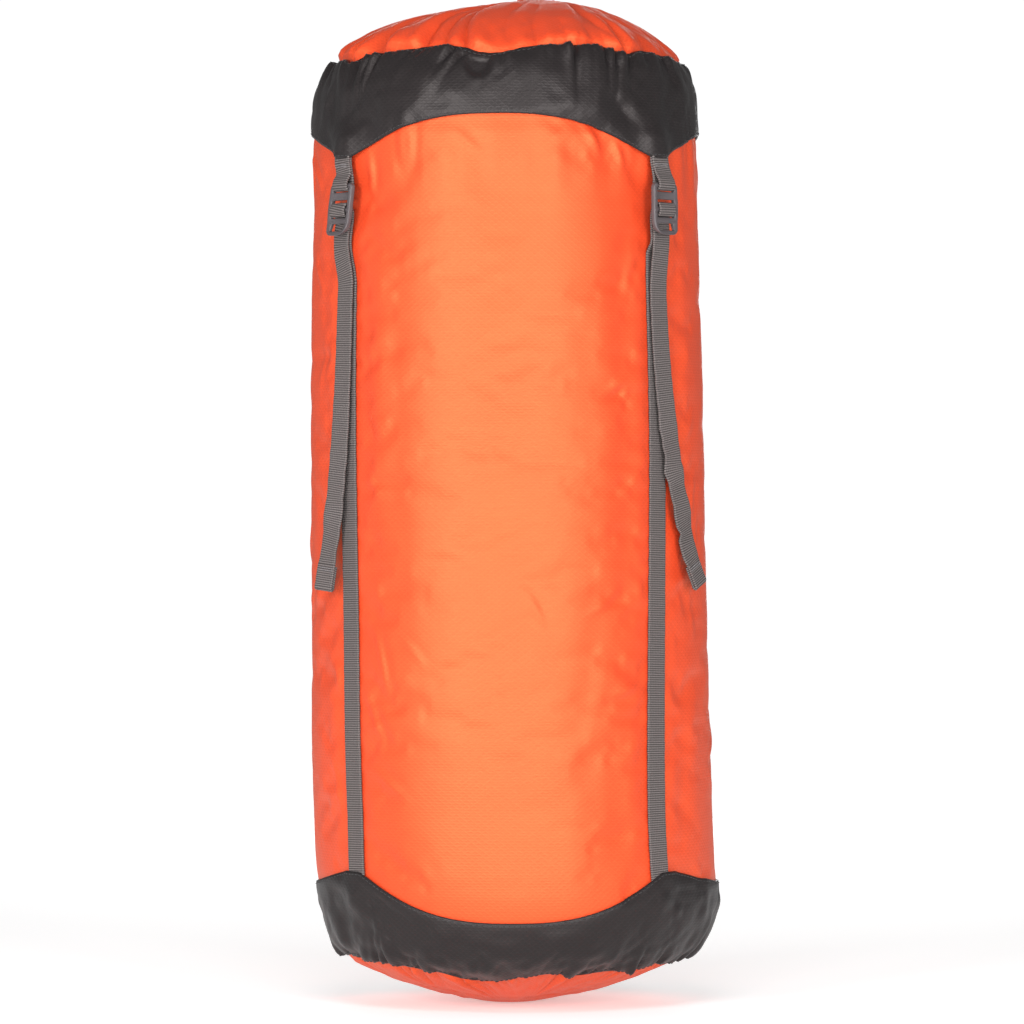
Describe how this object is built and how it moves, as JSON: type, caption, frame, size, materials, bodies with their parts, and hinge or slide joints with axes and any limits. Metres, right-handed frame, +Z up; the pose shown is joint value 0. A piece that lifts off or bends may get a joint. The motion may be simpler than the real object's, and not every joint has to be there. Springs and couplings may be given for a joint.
{
  "type": "compression stuff sack",
  "caption": "Tall round compression stuff sack with a drawcord mouth, a loose lid, webbing straps and ladder-lock buckles, standing stuffed.",
  "frame": {"origin": "centre of the base on the ground", "axes": "+Z up the sack's axis, -Y towards its front, +X to its right seen from the front"},
  "size_m": [0.2464, 0.2464, 0.62],
  "materials": {
    "shell_fabric": "satin",
    "trim_fabric": "satin",
    "webbing": "matte",
    "buckle_plastic": "satin",
    "cord": "matte",
    "spring_steel": "satin"
  },
  "bodies": {
    "sack": {"tube": "shell_fabric", "base_panel": "shell_fabric", "base_band": "trim_fabric", "strap_front_left": "webbing", "strap_front_right": "webbing", "strap_back_right": "webbing", "strap_back_left": "webbing"},
    "mouth": {"drawcord_channel": "trim_fabric", "drawcord": "cord", "cord_end": "buckle_plastic"},
    "cord_lock": {"cord_lock_cup": "buckle_plastic", "cord_lock_spring": "spring_steel"},
    "cord_lock_button": {"cord_lock_button": "buckle_plastic"},
    "lid": {"lid_skirt": "trim_fabric", "lid_crown": "shell_fabric", "lid_tab_front_left": "webbing", "lid_tab_front_right": "webbing", "lid_tab_back_right": "webbing", "lid_tab_back_left": "webbing", "strap_tail_front_left": "webbing", "strap_tail_front_right": "webbing", "strap_tail_back_right": "webbing", "strap_tail_back_left": "webbing"},
    "ladder_lock_front_left": {"ladder_lock_front_left": "buckle_plastic", "strap_wrap_front_left": "webbing"},
    "ladder_lock_front_right": {"ladder_lock_front_right": "buckle_plastic", "strap_wrap_front_right": "webbing"},
    "ladder_lock_back_right": {"ladder_lock_back_right": "buckle_plastic", "strap_wrap_back_right": "webbing"},
    "ladder_lock_back_left": {"ladder_lock_back_left": "buckle_plastic", "strap_wrap_back_left": "webbing"},
    "strap_end_front_left": {"strap_end_front_left": "webbing"},
    "strap_end_front_right": {"strap_end_front_right": "webbing"},
    "strap_end_back_right": {"strap_end_back_right": "webbing"},
    "strap_end_back_left": {"strap_end_back_left": "webbing"}
  },
  "joints": [
    {"name": "compress", "type": "slide", "parent": "sack", "child": "mouth", "axis": [0, 0, 1], "range_m": [-0.16, 0], "deforming": ["tube", "strap_front_left", "strap_front_right", "strap_back_right", "strap_back_left"]},
    {"name": "lid_lift", "type": "slide", "parent": "mouth", "child": "lid", "axis": [0, 0, 1], "range_m": [0, 0.19], "deforming": ["strap_tail_front_left", "strap_tail_front_right", "strap_tail_back_right", "strap_tail_back_left"]},
    {"name": "cord_lock_slide", "type": "slide", "parent": "mouth", "child": "cord_lock", "axis": [0, -1, 0], "range_m": [0, 0.011]},
    {"name": "cord_lock_press", "type": "slide", "parent": "cord_lock", "child": "cord_lock_button", "axis": [0, 0, 1], "range_m": [-0.003, 0], "stiffness_N_per_m": 300, "springref_m": 0.001, "deforming": ["cord_lock_spring"]},
    {"name": "tilt_front_left", "type": "hinge", "parent": "lid", "child": "ladder_lock_front_left", "pos_m": [-0.09735, -0.07744, 0.5009], "axis": [-0.6225, 0.7826, 0], "range_deg": [0, 45]},
    {"name": "tilt_front_right", "type": "hinge", "parent": "lid", "child": "ladder_lock_front_right", "pos_m": [0.09735, -0.07744, 0.5009], "axis": [-0.6225, -0.7826, 0], "range_deg": [0, 45]},
    {"name": "tilt_back_right", "type": "hinge", "parent": "lid", "child": "ladder_lock_back_right", "pos_m": [0.09735, 0.07744, 0.5009], "axis": [0.6225, -0.7826, 0], "range_deg": [0, 45]},
    {"name": "tilt_back_left", "type": "hinge", "parent": "lid", "child": "ladder_lock_back_left", "pos_m": [-0.09735, 0.07744, 0.5009], "axis": [0.6225, 0.7826, 0], "range_deg": [0, 45]},
    {"name": "feed_front_left", "type": "slide", "parent": "lid", "child": "strap_end_front_left", "axis": [0.0604, -0.0411, 0.9973], "range_m": [0, 0.19]},
    {"name": "feed_front_right", "type": "slide", "parent": "lid", "child": "strap_end_front_right", "axis": [-0.0928, -0.0819, 0.9923], "range_m": [0, 0.19]},
    {"name": "feed_back_right", "type": "slide", "parent": "lid", "child": "strap_end_back_right", "axis": [-0.0604, 0.0411, 0.9973], "range_m": [0, 0.19]},
    {"name": "feed_back_left", "type": "slide", "parent": "lid", "child": "strap_end_back_left", "axis": [0.0712, 0.0547, 0.996], "range_m": [0, 0.19]}
  ],
  "couplings": [
    {"joint": "feed_front_left", "follows": "lid_lift", "ratio": 1},
    {"joint": "feed_front_right", "follows": "lid_lift", "ratio": 1},
    {"joint": "feed_back_right", "follows": "lid_lift", "ratio": 1},
    {"joint": "feed_back_left", "follows": "lid_lift", "ratio": 1}
  ]
}
